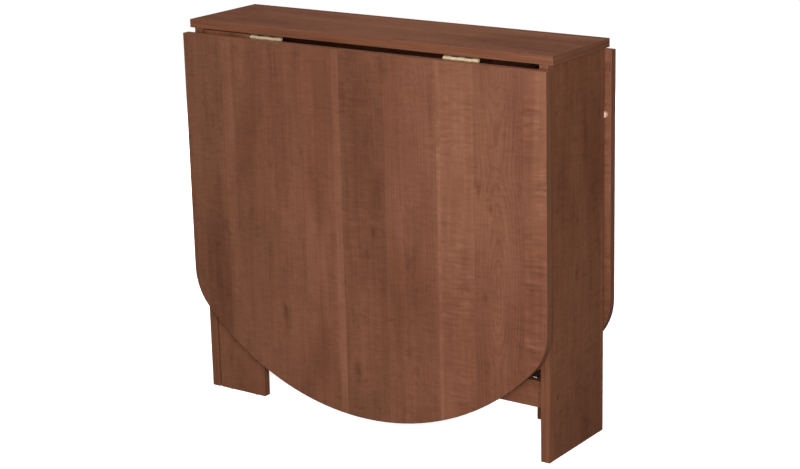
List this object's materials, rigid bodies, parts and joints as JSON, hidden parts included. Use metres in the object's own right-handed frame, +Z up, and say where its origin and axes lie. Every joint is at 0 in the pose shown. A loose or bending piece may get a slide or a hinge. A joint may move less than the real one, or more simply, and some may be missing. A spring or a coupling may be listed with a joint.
{
  "type": "gateleg table",
  "caption": "Folding gateleg table with a narrow fixed top, two round-ended drop leaves on brass-coloured hinges, end panels and swinging board legs.",
  "frame": {"origin": "on the floor, below the middle of the folded table", "axes": "+X along the fixed top, to the right seen from the front; +Y from the front leaf to the rear leaf; +Z up"},
  "size_m": [0.802, 0.24, 0.74],
  "materials": {
    "board": "satin walnut decor board",
    "brass": "satin brass plate",
    "steel": "bright zinc plate",
    "zinc": "cast zinc",
    "dark_steel": "brown plate",
    "beech": "bare beech",
    "glide": "brown plastic",
    "buffer": "soft translucent buffer"
  },
  "bodies": {
    "carcass": {"cam_bolts": "steel", "cam_discs": "zinc", "carcass_dowels": "beech", "centre_top": "board", "frame_screws": "dark_steel", "front_gate_hinge_pins": "steel", "front_gate_lower_hinge_fixed": "steel", "front_gate_upper_hinge_fixed": "steel", "front_leaf_hinge_pins": "brass", "front_left_hinge_fixed": "brass", "front_lower_rail": "board", "front_right_hinge_fixed": "brass", "front_upper_rail": "board", "left_panel": "board", "panel_glides": "glide", "panel_hinge_screws": "steel", "rear_gate_hinge_pins": "steel", "rear_gate_lower_hinge_fixed": "steel", "rear_gate_upper_hinge_fixed": "steel", "rear_leaf_hinge_pins": "brass", "rear_left_hinge_fixed": "brass", "rear_lower_rail": "board", "rear_right_hinge_fixed": "brass", "rear_upper_rail": "board", "right_panel": "board", "top_hinge_screws": "brass"},
    "front_leaf": {"front_leaf_board": "board", "front_leaf_buffers": "buffer", "front_leaf_screws": "brass", "front_left_hinge_moving": "brass", "front_right_hinge_moving": "brass"},
    "rear_leaf": {"rear_leaf_board": "board", "rear_leaf_buffers": "buffer", "rear_leaf_screws": "brass", "rear_left_hinge_moving": "brass", "rear_right_hinge_moving": "brass"},
    "front_gate": {"front_gate_dowels": "beech", "front_gate_glides": "glide", "front_gate_leg": "board", "front_gate_lower_hinge_moving": "steel", "front_gate_lower_rail": "board", "front_gate_screws": "steel", "front_gate_stile": "board", "front_gate_upper_hinge_moving": "steel", "front_gate_upper_rail": "board"},
    "rear_gate": {"rear_gate_dowels": "beech", "rear_gate_glides": "glide", "rear_gate_leg": "board", "rear_gate_lower_hinge_moving": "steel", "rear_gate_lower_rail": "board", "rear_gate_screws": "steel", "rear_gate_stile": "board", "rear_gate_upper_hinge_moving": "steel", "rear_gate_upper_rail": "board"}
  },
  "joints": [
    {"name": "front_leaf_hinge", "type": "hinge", "parent": "carcass", "child": "front_leaf", "pos_m": [0, -0.098, 0.718], "axis": [-1, 0, 0], "range_deg": [0, 90]},
    {"name": "rear_leaf_hinge", "type": "hinge", "parent": "carcass", "child": "rear_leaf", "pos_m": [0, 0.098, 0.718], "axis": [1, 0, 0], "range_deg": [0, 90]},
    {"name": "front_gate_hinge", "type": "hinge", "parent": "carcass", "child": "front_gate", "pos_m": [0.3718, -0.0994, 0.4325], "axis": [0, 0, 1], "range_deg": [0, 0.6]},
    {"name": "rear_gate_hinge", "type": "hinge", "parent": "carcass", "child": "rear_gate", "pos_m": [-0.3718, 0.0994, 0.4325], "axis": [0, 0, 1], "range_deg": [0, 0.6]}
  ]
}
